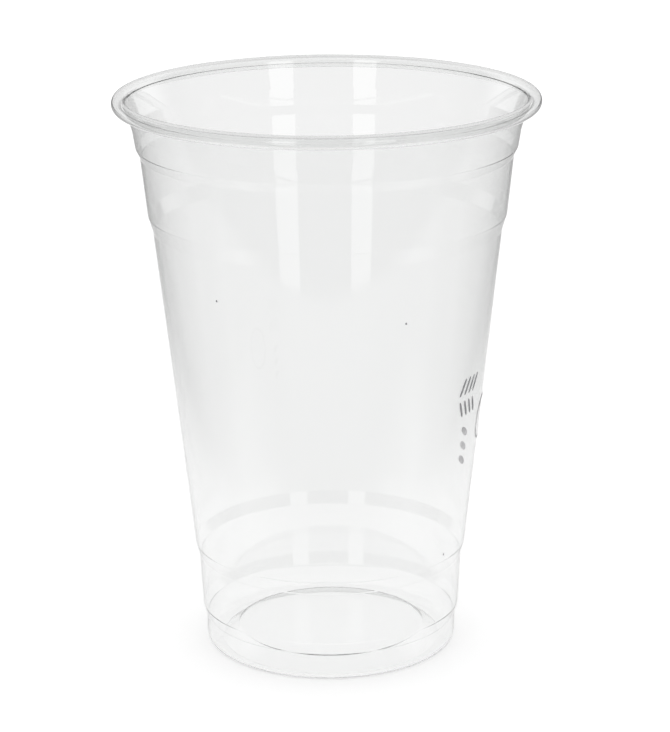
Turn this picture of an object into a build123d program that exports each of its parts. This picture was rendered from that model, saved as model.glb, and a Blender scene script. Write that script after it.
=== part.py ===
"""A clear disposable drinking cup, thermoformed from one sheet of plastic.

The whole cup is one sheet of even gauge: a raised base panel, a hollow foot that
the cup stands on, a tapered wall with a stiffening ledge low down and a stacking
ledge high up, a neck with a small step, and a rim rolled outwards into a bead.

The cup's axis is Z. The origin is on the table, at the middle of the foot.
Lengths are in millimetres.
"""

import os
from math import asin, atan2, degrees, sqrt

from build123d import *

# Overall sizes
rim_diameter = 95.0  # over the rolled bead, the size that a press-on lid fits
height = 128.0  # table to the top of the bead
foot_diameter = 57.6  # over the straight skirt of the foot
sheet = 0.35  # gauge of the formed sheet

# Rolled rim
bead_diameter = 3.0  # outside of the roll, seen in section
roll_turn = 225.0  # degrees that the sheet turns from the lip over and round
tuck_turn = 115.0  # degrees that its end turns further, tucked up inside the roll
tuck_share = 0.75  # radius of the tuck as a share of the roll's

# Upper wall, from the rim down: how tall each stretch is and how far it draws in
lip_height = 7.4
lip_overhang = 4.4
neck_height = 3.8
neck_taper = 0.6
neck_step_height = 2.1
neck_step = 0.95
band_height = 13.3
band_taper = 1.4
stack_ledge_height = 3.6  # the next cup in a stack stops here
stack_ledge = 1.05

# Lower wall, from the table up: how tall each stretch is and how far it spreads
skirt_height = 6.4
waist_step_height = 2.7
waist_step = 0.8
heel_height = 12.1
heel_taper = 0.65
low_ledge_height = 3.0
low_ledge = 0.85

# Base, from the foot inwards
stand_width = 3.8  # ring that meets the table, with the fold of the foot
base_slope_width = 3.8  # slope from that ring up to the flat panel
panel_rise = 2.7  # underside of the panel above the table

# Inside radii of the folds
foot_fold = 1.5
crisp_fold = 0.3
soft_fold = 0.8

# Corners of the cup's outside, as distance from the axis and height, worked out from
# the sizes above
rim_radius = rim_diameter / 2
foot_radius = foot_diameter / 2

skirt_top = Vector(foot_radius, skirt_height)
heel_bottom = skirt_top + Vector(waist_step, waist_step_height)
heel_top = heel_bottom + Vector(heel_taper, heel_height)
wall_bottom = heel_top + Vector(low_ledge, low_ledge_height)

neck_top = Vector(rim_radius - lip_overhang, height - lip_height)
neck_bottom = neck_top - Vector(neck_taper, neck_height)
band_top = neck_bottom - Vector(neck_step, neck_step_height)
band_bottom = band_top - Vector(band_taper, band_height)
wall_top = band_bottom - Vector(stack_ledge, stack_ledge_height)

# The section is drawn along the middle of the sheet, from the axis to the rim. Each
# corner has the inside radius of its fold beside it.
half_sheet = sheet / 2
into_wall = Vector(-half_sheet, 0)
onto_table = Vector(0, half_sheet)
panel_centre = Vector(0, panel_rise) + onto_table
panel_edge = panel_centre + Vector(foot_radius - stand_width - base_slope_width, 0)
stand_inside = Vector(foot_radius - stand_width, 0) + onto_table
stand_outside = Vector(foot_radius, 0) + onto_table + into_wall
folds = [
    (panel_edge, soft_fold),
    (stand_inside, crisp_fold),
    (stand_outside, foot_fold),
    (skirt_top + into_wall, crisp_fold),
    (heel_bottom + into_wall, crisp_fold),
    (heel_top + into_wall, soft_fold),
    (wall_bottom + into_wall, soft_fold),
    (wall_top + into_wall, soft_fold),
    (band_bottom + into_wall, soft_fold),
    (band_top + into_wall, crisp_fold),
    (neck_bottom + into_wall, crisp_fold),
    (neck_top + into_wall, soft_fold),
]

# The lip flares out of the neck in a straight line and meets the roll at a tangent.
roll_radius = bead_diameter / 2 - half_sheet
roll_centre = Vector(rim_radius - bead_diameter / 2, height - bead_diameter / 2)
neck_to_roll = roll_centre - (neck_top + into_wall)
lip_length = sqrt(neck_to_roll.length**2 - roll_radius**2)
lip_angle = degrees(
    atan2(neck_to_roll.Y, neck_to_roll.X) + asin(roll_radius / neck_to_roll.length)
)
lip_top = neck_top + into_wall + Vector(lip_length, 0).rotate(Axis.Z, lip_angle)

with BuildPart() as cup:
    with BuildSketch(Plane.XZ) as section:
        with BuildLine() as middle_line:
            wall = FilletPolyline(
                panel_centre,
                *[corner for corner, _ in folds],
                lip_top,
                radius=[fold + half_sheet for _, fold in folds],
            )
            roll = JernArc(wall @ 1, wall % 1, radius=roll_radius, arc_size=-roll_turn)
            tuck_radius = tuck_share * roll_radius
            JernArc(roll @ 1, roll % 1, radius=tuck_radius, arc_size=-tuck_turn)
            offset(amount=half_sheet, side=Side.BOTH, mode=Mode.REPLACE)
        make_face()
        # The rounded end of the line at the axis is cut off square.
        with Locations((rim_diameter / 2, height / 2)):
            Rectangle(rim_diameter, 2 * height, mode=Mode.INTERSECT)
    revolve(axis=Axis.Z)
cup.part.label = "cup"

os.makedirs("parts", exist_ok=True)
export_step(cup.part, "parts/cup.step")
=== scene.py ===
"""A clear drinking cup, formed from one sheet of plastic, on a white studio table.

The cup is turned round its axis by a Geometry Nodes tree from the corners of the sheet's
section. Its printed marks lie on the outside of the wall. Lengths are in metres, and the
origin is on the table at the middle of the foot.
"""

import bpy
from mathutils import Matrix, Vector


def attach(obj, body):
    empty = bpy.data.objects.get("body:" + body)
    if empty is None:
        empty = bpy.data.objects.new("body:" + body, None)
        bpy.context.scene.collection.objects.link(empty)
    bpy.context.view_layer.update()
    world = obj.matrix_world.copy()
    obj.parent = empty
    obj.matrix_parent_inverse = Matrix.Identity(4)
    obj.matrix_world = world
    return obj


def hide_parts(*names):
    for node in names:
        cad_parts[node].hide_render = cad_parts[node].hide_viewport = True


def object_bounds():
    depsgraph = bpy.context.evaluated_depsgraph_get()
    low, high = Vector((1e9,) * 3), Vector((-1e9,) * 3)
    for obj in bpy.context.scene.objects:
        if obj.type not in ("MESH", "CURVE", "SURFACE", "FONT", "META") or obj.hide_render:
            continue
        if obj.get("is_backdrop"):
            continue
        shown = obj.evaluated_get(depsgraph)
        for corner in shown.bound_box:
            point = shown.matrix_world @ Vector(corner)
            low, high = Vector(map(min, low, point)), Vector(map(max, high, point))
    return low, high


bl_info = {
    "name": "Clear Drinking Cup",
    "version": (1, 0, 0),
    "blender": (4, 5, 0),
    "location": "3D View > Sidebar > Cup",
    "description": "Builds a clear formed cup with a rolled rim, and a white table to show it on",
    "category": "Add Mesh",
}

from math import acos, atan2, ceil, cos, pi, radians, sin

import bpy
from bpy.props import FloatProperty, FloatVectorProperty, IntProperty, PointerProperty
from mathutils import Matrix, Vector

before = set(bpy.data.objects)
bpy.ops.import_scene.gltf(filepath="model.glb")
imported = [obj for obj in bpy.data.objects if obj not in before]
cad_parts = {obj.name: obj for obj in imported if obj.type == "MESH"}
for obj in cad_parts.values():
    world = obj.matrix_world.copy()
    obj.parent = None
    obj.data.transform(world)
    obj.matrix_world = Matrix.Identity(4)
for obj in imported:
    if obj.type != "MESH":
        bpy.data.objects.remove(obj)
CAD_LOW, CAD_HIGH = (list(corner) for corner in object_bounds())
MM = 0.001


# --------------------------------------------------------------------------------------
# Sizes, finishes and stage settings
# --------------------------------------------------------------------------------------


def length(name, millimetres, description):
    """A length property, given in millimetres and kept in metres."""
    return FloatProperty(
        name=name,
        description=description,
        default=millimetres * MM,
        min=0.0,
        precision=5,
        unit="LENGTH",
    )


class CupShape(bpy.types.PropertyGroup):
    """Sizes of the formed sheet"""

    rim_radius: FloatProperty(
        name="Rim Radius",
        description="From the axis to the outside of the rolled bead",
        default=CAD_HIGH[0],
        unit="LENGTH",
    )
    height: FloatProperty(
        name="Height",
        description="From the table to the top of the bead",
        default=CAD_HIGH[2],
        unit="LENGTH",
    )
    foot_radius: length("Foot Radius", 28.8, "Outside of the straight skirt of the foot")
    sheet: length("Sheet", 0.35, "Gauge of the formed sheet")
    bead: length("Bead", 3.0, "Outside diameter of the roll, seen in section")
    roll_turn: FloatProperty(
        name="Roll Turn",
        description="How far the sheet turns from the lip over and round",
        default=radians(225.0),
        subtype="ANGLE",
    )
    tuck_turn: FloatProperty(
        name="Tuck Turn",
        description="How far its end turns further, tucked up inside the roll",
        default=radians(115.0),
        subtype="ANGLE",
    )
    tuck_share: FloatProperty(
        name="Tuck Share",
        description="Radius of the tuck as a share of the roll's",
        default=0.75,
        min=0.1,
        max=1.0,
        subtype="FACTOR",
    )
    stand_width: length("Stand Width", 3.8, "Ring that meets the table")
    base_slope: length("Base Slope", 3.8, "Slope from that ring up to the flat panel")
    panel_rise: length("Panel Rise", 2.7, "Underside of the base panel above the table")
    around: IntProperty(
        name="Steps Around", description="Faces round the axis", default=240, min=24
    )
    fold_steps: IntProperty(
        name="Fold Steps", description="Points in each rounded fold", default=6, min=2
    )
    stretch_step: length("Stretch Step", 3.2, "Longest edge along a straight stretch")
    ripple: length("Ripple", 0.03, "Depth of the waviness that forming leaves in the sheet")
    ripple_size: length("Ripple Size", 14.0, "Usual distance between two ripples")


class CupMarks(bpy.types.PropertyGroup):
    """Places and sizes of what is printed on the wall"""

    turn: FloatProperty(
        name="Turn",
        description="From the camera's side of the cup round to the middle of the marks",
        default=radians(61.5),
        subtype="ANGLE",
    )
    height: length("Mark Height", 58.0, "Middle of the marks above the table")
    stroke: length("Stroke", 0.75, "Breadth of one printed stroke")
    ring_radius: length("Ring Radius", 5.2, "Printed ring beside the strokes")
    ring_line: length("Ring Line", 0.45, "Breadth of the ring's line")
    ring_drop: length("Ring Drop", 3.5, "Middle of the ring below the middle of the marks")
    ring_turn: FloatProperty(
        name="Ring Turn",
        description="From the middle of the marks round to the middle of the ring",
        default=radians(20.5),
        subtype="ANGLE",
    )
    ink_depth: length("Ink Depth", 0.02, "Thickness of the ink on the sheet")


class CupPlastic(bpy.types.PropertyGroup):
    """Look of the clear sheet and of the ink on it"""

    tint: FloatVectorProperty(
        name="Tint",
        description="Colour that one layer of the sheet lets through",
        default=(0.985, 0.988, 0.986),
        size=3,
        min=0.0,
        max=1.0,
        subtype="COLOR",
    )
    ior: FloatProperty(
        name="IOR", description="Index of refraction", default=1.57, min=1.0, max=3.0
    )
    ink: FloatVectorProperty(
        name="Ink",
        description="Colour of the printed marks",
        default=(0.19, 0.19, 0.2),
        size=3,
        min=0.0,
        max=1.0,
        subtype="COLOR",
    )


class CupStage(bpy.types.PropertyGroup):
    """Table, surroundings, lamps and camera"""

    room: FloatProperty(
        name="Room",
        description="Brightness of the room round the camera, where the backdrop is 1",
        default=0.06,
        min=0.0,
        max=1.0,
    )
    table_far: FloatProperty(
        name="Far Table",
        description="Brightness of the table far from the cup, as the cup reflects it",
        default=0.45,
        min=0.0,
        max=1.0,
    )
    strip_glow: FloatProperty(
        name="Strip Glow",
        description="Brightness of the two strip lamps, where the backdrop is 1",
        default=0.9,
        min=0.0,
    )
    lens: FloatProperty(
        name="Lens", description="Focal length in millimetres", default=136.05, min=1.0
    )


# --------------------------------------------------------------------------------------
# Node helpers
# --------------------------------------------------------------------------------------


class Wires:
    """Adds nodes to a tree and joins their sockets."""

    def __init__(self, tree):
        self.tree = tree

    def add(self, kind, values=None, **settings):
        """Adds a node. values gives an input's number, or the socket that feeds it."""
        node = self.tree.nodes.new(kind)
        for key, value in settings.items():
            setattr(node, key, value)
        for key, value in (values or {}).items():
            if isinstance(value, bpy.types.NodeSocket):
                self.tree.links.new(value, node.inputs[key])
            else:
                node.inputs[key].default_value = value
        return node

    def math(self, operation, first, second=0.0, third=0.0):
        """The result of one Math node."""
        values = {0: first, 1: second, 2: third}
        return self.add("ShaderNodeMath", values, operation=operation).outputs[0]

    def smooth(self, value, low, high, start=0.0, end=1.0):
        """Goes smoothly from start to end while value goes from low to high."""
        values = {"Value": value, "From Min": low, "From Max": high}
        values |= {"To Min": start, "To Max": end}
        node = self.add("ShaderNodeMapRange", values, interpolation_type="SMOOTHSTEP")
        return node.outputs["Result"]

    def mix(self, factor, first, second):
        """A number between first and second."""
        node = self.add("ShaderNodeMix", {0: factor, 2: first, 3: second})
        return node.outputs[0]


def fresh_material(name):
    """An empty node material and its wires."""
    material = bpy.data.materials.new(name)
    material.use_nodes = True
    material.node_tree.nodes.clear()
    return material, Wires(material.node_tree)


# --------------------------------------------------------------------------------------
# The cup
# --------------------------------------------------------------------------------------

# Stretches of the wall: height and spread of each, in millimetres
LIP = (7.4, 4.4)
NECK = (3.8, 0.6)
NECK_STEP = (2.1, 0.95)
BAND = (13.3, 1.4)
STACK_LEDGE = (3.6, 1.05)
SKIRT_HEIGHT = 6.4
WAIST_STEP = (2.7, 0.8)
HEEL = (12.1, 0.65)
LOW_LEDGE = (3.0, 0.85)

# Inside radii of the folds, in millimetres
FOOT_FOLD = 1.5
CRISP_FOLD = 0.3
SOFT_FOLD = 0.8


def section_corners(shape):
    """Corners of the middle of the sheet from the axis to the rim's free edge.

    Each is (distance from the axis, height, fold radius)."""
    half = shape.sheet / 2

    def wall(radius, z, fold):
        return radius - half, z, fold * MM + half

    stand_inside = shape.foot_radius - shape.stand_width
    panel_z = shape.panel_rise + half
    corners = [
        (0.0, panel_z, 0.0),
        (stand_inside - shape.base_slope, panel_z, SOFT_FOLD * MM + half),
        (stand_inside, half, CRISP_FOLD * MM + half),
        wall(shape.foot_radius, half, FOOT_FOLD),
    ]

    radius, z = shape.foot_radius, SKIRT_HEIGHT * MM
    corners.append(wall(radius, z, CRISP_FOLD))
    rising = ((WAIST_STEP, CRISP_FOLD), (HEEL, SOFT_FOLD), (LOW_LEDGE, SOFT_FOLD))
    for (rise, spread), fold in rising:
        radius, z = radius + spread * MM, z + rise * MM
        corners.append(wall(radius, z, fold))

    radius, z = shape.rim_radius - LIP[1] * MM, shape.height - LIP[0] * MM
    neck_top = wall(radius, z, SOFT_FOLD)
    upper = [neck_top]
    falling = (
        (NECK, CRISP_FOLD),
        (NECK_STEP, CRISP_FOLD),
        (BAND, SOFT_FOLD),
        (STACK_LEDGE, SOFT_FOLD),
    )
    for (drop, draw), fold in falling:
        radius, z = radius - draw * MM, z - drop * MM
        upper.append(wall(radius, z, fold))
    corners += reversed(upper)
    return corners + rolled_rim(shape, neck_top)


def straight_wall(shape):
    """The two ends of the wall's long taper, each a distance from the axis and a height."""
    corners = section_corners(shape)
    ends = max(zip(corners, corners[1:]), key=lambda pair: pair[1][1] - pair[0][1])
    return [end[:2] for end in ends]


def rolled_rim(shape, neck_top, step=radians(8)):
    """Points of the lip's end, the roll that it meets at a tangent, and the tuck."""
    radius = (shape.bead - shape.sheet) / 2
    centre = Vector((shape.rim_radius - shape.bead / 2, shape.height - shape.bead / 2))
    away = Vector(neck_top[:2]) - centre
    angle = atan2(away.y, away.x) - acos(radius / away.length)

    def outward():
        return Vector((cos(angle), sin(angle)))

    points = [centre + radius * outward()]
    for turn, share in ((shape.roll_turn, 1.0), (shape.tuck_turn, shape.tuck_share)):
        centre = centre + radius * (1.0 - share) * outward()
        radius *= share
        steps = ceil(turn / step)
        for _ in range(steps):
            angle -= turn / steps
            points.append(centre + radius * outward())
    return [(point.x, point.y, 0.0) for point in points]


def turning_tree():
    """Geometry Nodes that fold a line of corners into a section and turn it round Z."""
    tree = bpy.data.node_groups.new("Turned Sheet", "GeometryNodeTree")
    sockets = (
        ("Corners", "NodeSocketGeometry"),
        ("Steps Around", "NodeSocketInt"),
        ("Fold Steps", "NodeSocketInt"),
        ("Stretch Step", "NodeSocketFloat"),
        ("Ripple", "NodeSocketFloat"),
        ("Ripple Size", "NodeSocketFloat"),
        ("Material", "NodeSocketMaterial"),
    )
    for name, kind in sockets:
        tree.interface.new_socket(name=name, in_out="INPUT", socket_type=kind)
    tree.interface.new_socket(
        name="Sheet", in_out="OUTPUT", socket_type="NodeSocketGeometry"
    )
    wires = Wires(tree)
    given = wires.add("NodeGroupInput").outputs

    # The corners become a line with rounded folds and short steps along its stretches.
    line = wires.add("GeometryNodeMeshToCurve", {"Mesh": given["Corners"]})
    fold = wires.add("GeometryNodeInputNamedAttribute", {"Name": "fold"})
    folded = wires.add(
        "GeometryNodeFilletCurve",
        {
            "Curve": line.outputs[0],
            "Count": given["Fold Steps"],
            "Radius": fold.outputs["Attribute"],
            "Limit Radius": True,
        },
        mode="POLY",
    )
    here = wires.add("GeometryNodeInputPosition").outputs[0]
    after = wires.add("GeometryNodeOffsetPointInCurve", {"Offset": 1})
    next_place = wires.add(
        "GeometryNodeFieldAtIndex",
        {"Index": after.outputs["Point Index"], "Value": here},
        data_type="FLOAT_VECTOR",
        domain="POINT",
    )
    gap = wires.add(
        "ShaderNodeVectorMath", {0: here, 1: next_place.outputs[0]}, operation="DISTANCE"
    )
    cuts = wires.math("DIVIDE", gap.outputs["Value"], given["Stretch Step"])
    section = wires.add(
        "GeometryNodeSubdivideCurve",
        {"Curve": folded.outputs[0], "Cuts": wires.math("FLOOR", cuts)},
    ).outputs[0]

    # Each column of a grid is the section, turned by its share of the full circle.
    count = wires.add(
        "GeometryNodeAttributeDomainSize", {0: section}, component="CURVE"
    ).outputs["Point Count"]
    columns = wires.math("ADD", given["Steps Around"], 1.0)
    grid = wires.add("GeometryNodeMeshGrid", {"Vertices X": columns, "Vertices Y": count})
    index = wires.add("GeometryNodeInputIndex").outputs[0]
    along = wires.math("FLOORED_MODULO", index, count)
    column = wires.math("FLOOR", wires.math("DIVIDE", wires.math("ADD", index, 0.5), count))
    on_section = wires.add(
        "GeometryNodeSampleIndex",
        {"Geometry": section, "Value": here, "Index": along},
        data_type="FLOAT_VECTOR",
        domain="POINT",
    )
    full_turn = wires.math("DIVIDE", 2 * pi, given["Steps Around"])
    turned = wires.add(
        "ShaderNodeVectorRotate",
        {"Vector": on_section.outputs[0], "Angle": wires.math("MULTIPLY", column, full_turn)},
        rotation_type="Z_AXIS",
    )
    lathe = wires.add(
        "GeometryNodeSetPosition",
        {"Geometry": grid.outputs["Mesh"], "Position": turned.outputs[0]},
    )
    closed = wires.add(
        "GeometryNodeMergeByDistance", {"Geometry": lathe.outputs[0], "Distance": 1e-6}
    )

    # Forming leaves the sheet a little wavy. The seed is fixed.
    waves = wires.add(
        "ShaderNodeTexNoise",
        {
            "Vector": here,
            "W": 4.0,
            "Scale": wires.math("DIVIDE", 1.0, given["Ripple Size"]),
            "Detail": 1.0,
        },
        noise_dimensions="4D",
    )
    depth = wires.math("MULTIPLY", wires.math("SUBTRACT", waves.outputs[0], 0.5), 2.0)
    push = wires.add(
        "ShaderNodeVectorMath",
        {
            0: wires.add("GeometryNodeInputNormal").outputs[0],
            "Scale": wires.math("MULTIPLY", depth, given["Ripple"]),
        },
        operation="SCALE",
    )
    wavy = wires.add(
        "GeometryNodeSetPosition", {"Geometry": closed.outputs[0], "Offset": push.outputs[0]}
    )
    smooth = wires.add("GeometryNodeSetShadeSmooth", {"Geometry": wavy.outputs[0]})
    real = wires.add("GeometryNodeRealizeInstances", {"Geometry": smooth.outputs[0]})
    coated = wires.add(
        "GeometryNodeSetMaterial",
        {"Geometry": real.outputs[0], "Material": given["Material"]},
    )
    wires.add("NodeGroupOutput", {0: coated.outputs[0]})
    return tree


def set_inputs(modifier, values):
    """Sets a Geometry Nodes modifier's inputs by their names in its tree."""
    for item in modifier.node_group.interface.items_tree:
        if item.in_out == "INPUT" and item.name in values:
            modifier[item.identifier] = values[item.name]


def baked(source, name):
    """A plain mesh object of what source's modifiers make. source is removed."""
    bpy.context.view_layer.update()
    depsgraph = bpy.context.evaluated_depsgraph_get()
    mesh = bpy.data.meshes.new_from_object(source.evaluated_get(depsgraph))
    mesh.name = name
    bpy.data.objects.remove(source)
    made = bpy.data.objects.new(name, mesh)
    bpy.context.scene.collection.objects.link(made)
    return made


def clear_sheet(plastic):
    """Clear glossy plastic, with the faint unevenness of a formed sheet."""
    material, wires = fresh_material("Clear Sheet")
    place = wires.add("ShaderNodeTexCoord").outputs["Object"]
    streaks = wires.add("ShaderNodeMapping", {"Vector": place, "Scale": (1.0, 1.0, 0.25)})
    drawn = wires.add(
        "ShaderNodeTexNoise", {"Vector": streaks.outputs[0], "Scale": 260.0, "Detail": 3.0}
    )
    fine = wires.add("ShaderNodeTexNoise", {"Vector": place, "Scale": 1400.0, "Detail": 2.0})
    bump = wires.add(
        "ShaderNodeBump",
        {"Strength": 0.12, "Distance": 0.00005, "Height": drawn.outputs[0]},
    )
    rough = wires.smooth(fine.outputs[0], 0.35, 0.75, 0.012, 0.05)
    clear = wires.add(
        "ShaderNodeBsdfPrincipled",
        {
            "Base Color": (*plastic.tint, 1.0),
            "Roughness": rough,
            "IOR": plastic.ior,
            "Transmission Weight": 1.0,
            "Normal": bump.outputs[0],
        },
    )
    wires.add("ShaderNodeOutputMaterial", {"Surface": clear.outputs[0]})
    return material


def keep_in_size(mesh):
    """Holds the ripples back from the cup's overall size, at its foot and its rim."""
    for vertex in mesh.vertices:
        place = vertex.co
        place.z = min(max(place.z, CAD_LOW[2]), CAD_HIGH[2])
        radius = place.xy.length
        if radius > CAD_HIGH[0]:
            place.xy *= CAD_HIGH[0] / radius


class CUP_OT_form_sheet(bpy.types.Operator):
    """Forms the clear cup: base, foot, ledges, wall, neck and rolled rim"""

    bl_idname = "drinking_cup.form_sheet"
    bl_label = "Form Cup"

    def execute(self, context):
        shape, plastic = context.scene.cup_shape, context.scene.cup_plastic
        corners = section_corners(shape)
        mesh = bpy.data.meshes.new("section")
        mesh.from_pydata(
            [(radius, 0.0, z) for radius, z, _ in corners],
            [(i, i + 1) for i in range(len(corners) - 1)],
            [],
        )
        folds = mesh.attributes.new("fold", "FLOAT", "POINT")
        folds.data.foreach_set("value", [fold for _, _, fold in corners])
        section = bpy.data.objects.new("section", mesh)
        context.scene.collection.objects.link(section)

        turn = section.modifiers.new("Turn", "NODES")
        turn.node_group = turning_tree()
        set_inputs(
            turn,
            {
                "Steps Around": shape.around,
                "Fold Steps": shape.fold_steps,
                "Stretch Step": shape.stretch_step,
                "Ripple": shape.ripple,
                "Ripple Size": shape.ripple_size,
                "Material": clear_sheet(plastic),
            },
        )
        gauge = section.modifiers.new("Gauge", "SOLIDIFY")
        gauge.thickness = shape.sheet
        gauge.offset = 0.0
        gauge.use_even_offset = True
        weigh = section.modifiers.new("Even Shading", "WEIGHTED_NORMAL")
        weigh.mode = "FACE_AREA"
        weigh.weight = 100

        cup = baked(section, "clear_cup")
        if not cup.data.polygons:
            raise RuntimeError("the cup's section gave no faces")
        keep_in_size(cup.data)
        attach(cup, "root")
        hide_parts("cup")
        return {"FINISHED"}


# --------------------------------------------------------------------------------------
# The printed marks
# --------------------------------------------------------------------------------------


def mark_places(marks):
    """Where each stroke and speck lies on the unrolled wall, in millimetres.

    Each is (across, up, long, broad, tilt), measured from the middle of the marks."""
    broad = marks.stroke / MM
    strokes = []
    stroke_pitch, blob_pitch = 1.9, 3.4
    for up, tall, tilt in ((7.6, 4.4, -28.0), (2.4, 4.0, 22.0)):
        for step in range(4):
            strokes.append((-3.2 + stroke_pitch * step, up, tall, broad, tilt))
    blobs = [(-0.4, -blob_pitch * (1 + step), 3.4, 1.9 * broad, 52.0) for step in range(3)]
    specks = [(-21.5, 26.4, 0.5, 0.4, 0.0), (-61.0, 30.6, 0.5, 0.4, 0.0)]
    specks.append((-4.4, -32.0, 0.7, 0.5, 30.0))
    return strokes + blobs + specks


def marking_tree():
    """Geometry Nodes that lay rounded strokes and a ring on the straight taper of the wall."""
    tree = bpy.data.node_groups.new("Printed Marks", "GeometryNodeTree")
    sockets = (
        ("Places", "NodeSocketGeometry"),
        ("Ring Radius", "NodeSocketFloat"),
        ("Ring Line", "NodeSocketFloat"),
        ("Ring Across", "NodeSocketFloat"),
        ("Ring Up", "NodeSocketFloat"),
        ("Turn", "NodeSocketFloat"),
        ("Height", "NodeSocketFloat"),
        ("Wall Radius", "NodeSocketFloat"),
        ("Wall Taper", "NodeSocketFloat"),
        ("Material", "NodeSocketMaterial"),
    )
    for name, kind in sockets:
        tree.interface.new_socket(name=name, in_out="INPUT", socket_type=kind)
    tree.interface.new_socket(
        name="Marks", in_out="OUTPUT", socket_type="NodeSocketGeometry"
    )
    wires = Wires(tree)
    given = wires.add("NodeGroupInput").outputs

    def named(name, kind):
        node = wires.add("GeometryNodeInputNamedAttribute", {"Name": name}, data_type=kind)
        return node.outputs["Attribute"]

    # One rounded stroke of unit size goes on every place, and the ring beside them.
    outline = wires.add("GeometryNodeCurvePrimitiveQuadrilateral", {"Width": 1.0, "Height": 1.0})
    rounded = wires.add(
        "GeometryNodeFilletCurve",
        {"Curve": outline.outputs[0], "Count": 4, "Radius": 0.4},
        mode="POLY",
    )
    stroke = wires.add("GeometryNodeFillCurve", {"Curve": rounded.outputs[0]})
    points = wires.add("GeometryNodeMeshToPoints", {"Mesh": given["Places"]})
    strokes = wires.add(
        "GeometryNodeInstanceOnPoints",
        {
            "Points": points.outputs[0],
            "Instance": stroke.outputs[0],
            "Rotation": named("tilt", "FLOAT_VECTOR"),
            "Scale": named("size", "FLOAT_VECTOR"),
        },
    )
    circle = wires.add(
        "GeometryNodeCurvePrimitiveCircle", {"Resolution": 72, "Radius": given["Ring Radius"]}
    )
    inner = wires.math("SUBTRACT", given["Ring Radius"], given["Ring Line"])
    hole = wires.add("GeometryNodeCurvePrimitiveCircle", {"Resolution": 72, "Radius": inner})
    both_rings = wires.add("GeometryNodeJoinGeometry")
    for curve in (circle, hole):
        tree.links.new(curve.outputs[0], both_rings.inputs[0])
    ring = wires.add("GeometryNodeFillCurve", {"Curve": both_rings.outputs[0]})
    aside = wires.add("ShaderNodeCombineXYZ", {"X": given["Ring Across"], "Y": given["Ring Up"]})
    placed = wires.add(
        "GeometryNodeTransform", {"Geometry": ring.outputs[0], "Translation": aside.outputs[0]}
    )
    every = wires.add("GeometryNodeJoinGeometry")
    for part in (strokes, placed):
        tree.links.new(part.outputs[0], every.inputs[0])
    flat = wires.add("GeometryNodeRealizeInstances", {"Geometry": every.outputs[0]})
    fine = wires.add("GeometryNodeSubdivideMesh", {"Mesh": flat.outputs[0], "Level": 2})

    # Across becomes an angle round the axis, and up a height on the taper.
    here = wires.add("GeometryNodeInputPosition").outputs[0]
    axes = wires.add("ShaderNodeSeparateXYZ", {0: here}).outputs
    height = wires.math("ADD", axes["Y"], given["Height"])
    radius = wires.math("MULTIPLY_ADD", axes["Y"], given["Wall Taper"], given["Wall Radius"])
    angle = wires.math("DIVIDE", axes["X"], given["Wall Radius"])
    angle = wires.math("ADD", angle, given["Turn"])
    x = wires.math("MULTIPLY", radius, wires.math("SINE", angle))
    y = wires.math("MULTIPLY", radius, wires.math("COSINE", angle))
    on_wall = wires.add(
        "ShaderNodeCombineXYZ", {"X": x, "Y": wires.math("MULTIPLY", y, -1.0), "Z": height}
    )
    wrapped = wires.add(
        "GeometryNodeSetPosition",
        {"Geometry": fine.outputs[0], "Position": on_wall.outputs[0]},
    )
    welded = wires.add(
        "GeometryNodeMergeByDistance", {"Geometry": wrapped.outputs[0], "Distance": 1e-6}
    )
    real = wires.add("GeometryNodeRealizeInstances", {"Geometry": welded.outputs[0]})
    coated = wires.add(
        "GeometryNodeSetMaterial",
        {"Geometry": real.outputs[0], "Material": given["Material"]},
    )
    wires.add("NodeGroupOutput", {0: coated.outputs[0]})
    return tree


def printed_ink(plastic, height):
    """Matt ink, a little uneven, and thinner in the lower marks."""
    material, wires = fresh_material("Printed Ink")
    place = wires.add("ShaderNodeTexCoord").outputs["Object"]
    patchy = wires.add("ShaderNodeTexNoise", {"Vector": place, "Scale": 900.0, "Detail": 2.0})
    up = wires.add("ShaderNodeSeparateXYZ", {0: place}).outputs["Z"]
    thin = wires.smooth(up, height - 4.0 * MM, height, 0.32, 0.0)
    worn = wires.math("ADD", thin, wires.smooth(patchy.outputs[0], 0.35, 0.7, 0.0, 0.14))
    shade = wires.add(
        "ShaderNodeMix",
        {"Factor": worn, "A": (*plastic.ink, 1.0), "B": (1.0, 1.0, 1.0, 1.0)},
        data_type="RGBA",
    )
    ink = wires.add(
        "ShaderNodeBsdfPrincipled", {"Base Color": shade.outputs["Result"], "Roughness": 0.55}
    )
    wires.add("ShaderNodeOutputMaterial", {"Surface": ink.outputs[0]})
    return material


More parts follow.
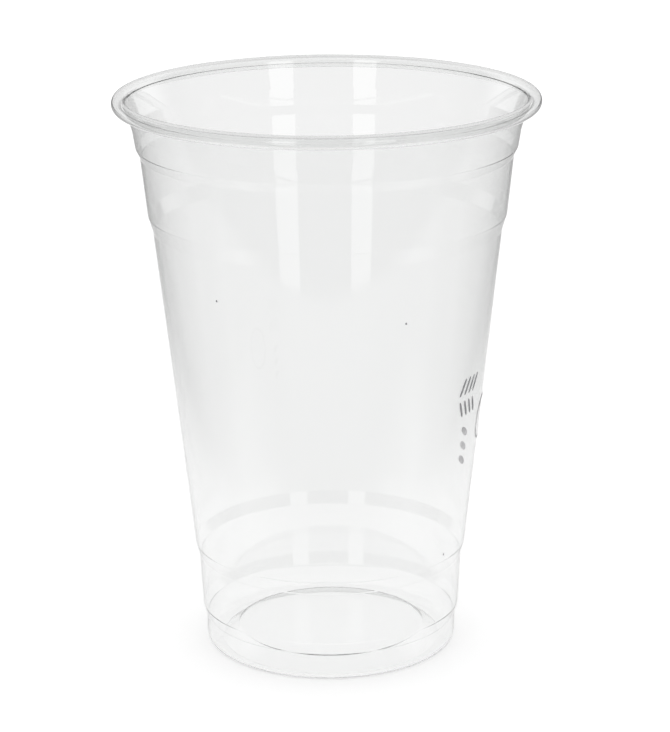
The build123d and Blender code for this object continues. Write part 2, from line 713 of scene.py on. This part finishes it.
class CUP_OT_print_marks(bpy.types.Operator):
    """Prints the strokes, the ring and a few specks on the outside of the wall"""

    bl_idname = "drinking_cup.print_marks"
    bl_label = "Print Marks"

    def execute(self, context):
        scene = context.scene
        shape, marks, plastic = scene.cup_shape, scene.cup_marks, scene.cup_plastic
        places = mark_places(marks)
        mesh = bpy.data.meshes.new("places")
        mesh.from_pydata([(across * MM, up * MM, 0.0) for across, up, *_ in places], [], [])
        sizes = [(broad * MM, long * MM, 1.0) for *_, long, broad, _ in places]
        tilts = [(0.0, 0.0, radians(tilt)) for *_, tilt in places]
        for name, values in (("size", sizes), ("tilt", tilts)):
            column = mesh.attributes.new(name, "FLOAT_VECTOR", "POINT")
            column.data.foreach_set("vector", [number for row in values for number in row])
        flat = bpy.data.objects.new("places", mesh)
        scene.collection.objects.link(flat)

        foot_end, rim_end = straight_wall(shape)
        taper = (rim_end[0] - foot_end[0]) / (rim_end[1] - foot_end[1])
        radius = foot_end[0] + taper * (marks.height - foot_end[1]) + 0.5 * shape.sheet
        lay = flat.modifiers.new("Lay", "NODES")
        lay.node_group = marking_tree()
        set_inputs(
            lay,
            {
                "Ring Radius": marks.ring_radius,
                "Ring Line": marks.ring_line,
                "Ring Across": marks.ring_turn * radius,
                "Ring Up": -marks.ring_drop,
                "Turn": marks.turn,
                "Height": marks.height,
                "Wall Radius": radius + shape.ripple + marks.ink_depth,
                "Wall Taper": taper,
                "Material": printed_ink(plastic, marks.height),
            },
        )
        depth = flat.modifiers.new("Depth", "SOLIDIFY")
        depth.thickness = marks.ink_depth
        depth.offset = 0.0

        printed = baked(flat, "printed_marks")
        if not printed.data.polygons:
            raise RuntimeError("the marks gave no faces")
        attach(printed, "root")
        return {"FINISHED"}


# --------------------------------------------------------------------------------------
# The stage
# --------------------------------------------------------------------------------------


def seen_in_reflection(wires):
    """1 on a ray that has been reflected on its way, and 0 on one that only went through."""
    path = wires.add("ShaderNodeLightPath").outputs
    return wires.math("GREATER_THAN", path["Glossy Depth"], 0.5), path


def table_top(stage):
    """White table that keeps a shadow. Its colour is painted darker far from the cup where it is
    reflected, and painted brighter under the cup where it is seen through the sheet.
    """
    material, wires = fresh_material("White Table")
    place = wires.add("ShaderNodeTexCoord").outputs["Object"]
    axes = wires.add("ShaderNodeSeparateXYZ", {0: place}).outputs
    # Painted shade: in reflections the table's colour dims to the sides of the cup and in front
    # of it, and far off to the room's level.
    sideways = wires.smooth(wires.math("ABSOLUTE", axes["X"]), 0.07, 0.18)
    forward = wires.smooth(wires.math("MULTIPLY", axes["Y"], -1.0), 0.04, 0.13)
    away = wires.math("MAXIMUM", sideways, forward)
    lit = wires.mix(away, 0.95, stage.table_far)
    distance = wires.add("ShaderNodeVectorMath", {0: place}, operation="LENGTH")
    far = wires.smooth(distance.outputs["Value"], 1.2, 1.5)
    lit = wires.mix(far, lit, stage.room)
    reflected, path = seen_in_reflection(wires)
    dim = wires.mix(reflected, 1.0, lit)

    # Seen through the sheet, the table glows more and takes less of the shadow, as painted light.
    through = path["Is Transmission Ray"]
    grain = wires.add("ShaderNodeTexNoise", {"Vector": place, "Scale": 900.0})
    white = wires.smooth(grain.outputs[0], 0.2, 0.8, 0.78, 0.82)
    white = wires.math("MULTIPLY", white, wires.mix(through, 1.0, 0.25))
    shade = wires.math("MULTIPLY", white, dim)
    grey = wires.add("ShaderNodeCombineColor", {0: shade, 1: shade, 2: shade})
    paper = wires.add("ShaderNodeBsdfDiffuse", {"Color": grey.outputs[0]})
    # Painted light: seen through the sheet, the table glows brightest within about 2 cm of the
    # middle of the foot, and less bright beyond 4 cm.
    glow_under_cup = wires.smooth(distance.outputs["Value"], 0.021, 0.04, 0.95, 0.83)
    glow = wires.math("MULTIPLY", dim, wires.mix(through, 0.52, glow_under_cup))
    lift = wires.add("ShaderNodeEmission", {"Strength": glow})
    both = wires.add("ShaderNodeAddShader", {0: paper.outputs[0], 1: lift.outputs[0]})
    wires.add("ShaderNodeOutputMaterial", {"Surface": both.outputs[0]})
    return material


def surroundings(stage):
    """World: white for what is seen, with a dim room behind the camera for reflections."""
    world = bpy.data.worlds.new("Studio")
    world.use_nodes = True
    world.node_tree.nodes.clear()
    wires = Wires(world.node_tree)
    towards = wires.add("ShaderNodeTexCoord").outputs["Generated"]
    parts = wires.add("ShaderNodeSeparateXYZ", {0: towards}).outputs
    backdrop = wires.smooth(parts["Y"], 0.2, 0.6, stage.room, 1.0)
    reflected, path = seen_in_reflection(wires)
    level = wires.mix(reflected, 1.0, backdrop)
    level = wires.mix(path["Is Diffuse Ray"], level, 1.0)
    background = wires.add("ShaderNodeBackground", {"Strength": level})
    wires.add("ShaderNodeOutputWorld", {"Surface": background.outputs[0]})
    return world


def strip_lamp(name, azimuth, width, height, distance, glow):
    """Upright strip lamp, seen only by its light and its reflections.

    azimuth is the angle from the camera's side of the cup, positive to the right."""
    lamp = bpy.data.lights.new(name, "AREA")
    lamp.shape = "RECTANGLE"
    lamp.size, lamp.size_y = width, height
    lamp.energy = glow * pi * width * height
    lamp.use_nodes = True
    wires = Wires(lamp.node_tree)
    lamp.node_tree.nodes.clear()
    reflected, _ = seen_in_reflection(wires)
    glowing = wires.add("ShaderNodeEmission", {"Strength": reflected})
    wires.add("ShaderNodeOutputLight", {"Surface": glowing.outputs[0]})
    strip = bpy.data.objects.new(name, lamp)
    place = Vector((sin(azimuth), -cos(azimuth), 0.0)) * distance
    place.z = height / 2
    facing = Vector((place.x, place.y, 0.0)).to_track_quat("Z", "Y")
    strip.location, strip.rotation_euler = place, facing.to_euler()
    strip.visible_camera = False
    bpy.context.scene.collection.objects.link(strip)
    strip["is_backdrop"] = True


def studio_camera(stage):
    """Camera a little above the rim, aimed at the cup."""
    camera = bpy.data.cameras.new("Camera")
    camera.sensor_width = 36.0
    camera.lens = stage.lens
    camera.clip_start, camera.clip_end = 0.01, 50.0
    place = bpy.data.objects.new("Camera", camera)
    bpy.context.scene.collection.objects.link(place)
    pitch, yaw, roll = radians(16.813), radians(0.134), radians(-0.4416)
    turned = (
        Matrix.Rotation(-yaw, 4, "Z")
        @ Matrix.Rotation(pi / 2 - pitch, 4, "X")
        @ Matrix.Rotation(roll, 4, "Z")
    )
    place.matrix_world = Matrix.Translation((0.0, -0.60157, 0.24669)) @ turned
    bpy.context.scene.camera = place


class CUP_OT_set_stage(bpy.types.Operator):
    """Lays the white table and sets the surroundings, lamps and camera"""

    bl_idname = "drinking_cup.set_stage"
    bl_label = "Set Stage"

    def execute(self, context):
        stage = context.scene.cup_stage
        reach, drop = 4.0, -0.05 * MM
        mesh = bpy.data.meshes.new("table")
        mesh.from_pydata(
            [(x * reach, y * reach, drop) for x, y in ((-1, -1), (1, -1), (1, 1), (-1, 1))],
            [],
            [(0, 1, 2, 3)],
        )
        mesh.materials.append(table_top(stage))
        table = bpy.data.objects.new("table", mesh)
        context.scene.collection.objects.link(table)
        table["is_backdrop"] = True

        context.scene.world = surroundings(stage)
        strip_lamp("strip_right", radians(28), 0.36, 1.0, 1.35, stage.strip_glow)
        strip_lamp("strip_left", radians(-24), 0.34, 1.0, 1.35, stage.strip_glow)
        studio_camera(stage)
        context.scene.view_settings.view_transform = "Standard"
        return {"FINISHED"}


# --------------------------------------------------------------------------------------
# Panel and registration
# --------------------------------------------------------------------------------------


class CUP_PT_panel(bpy.types.Panel):
    """Lists the cup's sizes and the steps that build it"""

    bl_label = "Clear Drinking Cup"
    bl_idname = "CUP_PT_panel"
    bl_space_type = "VIEW_3D"
    bl_region_type = "UI"
    bl_category = "Cup"

    def draw(self, context):
        layout = self.layout
        for settings, steps in (
            (context.scene.cup_shape, [CUP_OT_form_sheet]),
            (context.scene.cup_marks, [CUP_OT_print_marks]),
            (context.scene.cup_plastic, []),
            (context.scene.cup_stage, [CUP_OT_set_stage]),
        ):
            box = layout.box()
            for name in settings.__annotations__:
                box.prop(settings, name)
            for step in steps:
                box.operator(step.bl_idname)


CLASSES = (
    CupShape,
    CupMarks,
    CupPlastic,
    CupStage,
    CUP_OT_form_sheet,
    CUP_OT_print_marks,
    CUP_OT_set_stage,
    CUP_PT_panel,
)


def register():
    for cls in CLASSES:
        bpy.utils.register_class(cls)
    bpy.types.Scene.cup_shape = PointerProperty(type=CupShape)
    bpy.types.Scene.cup_marks = PointerProperty(type=CupMarks)
    bpy.types.Scene.cup_plastic = PointerProperty(type=CupPlastic)
    bpy.types.Scene.cup_stage = PointerProperty(type=CupStage)


def unregister():
    scene = bpy.types.Scene
    del scene.cup_stage, scene.cup_plastic, scene.cup_marks, scene.cup_shape
    for cls in reversed(CLASSES):
        bpy.utils.unregister_class(cls)


def main():
    register()
    bpy.ops.drinking_cup.form_sheet()
    bpy.ops.drinking_cup.print_marks()
    bpy.ops.drinking_cup.set_stage()


if __name__ == "__main__":
    main()
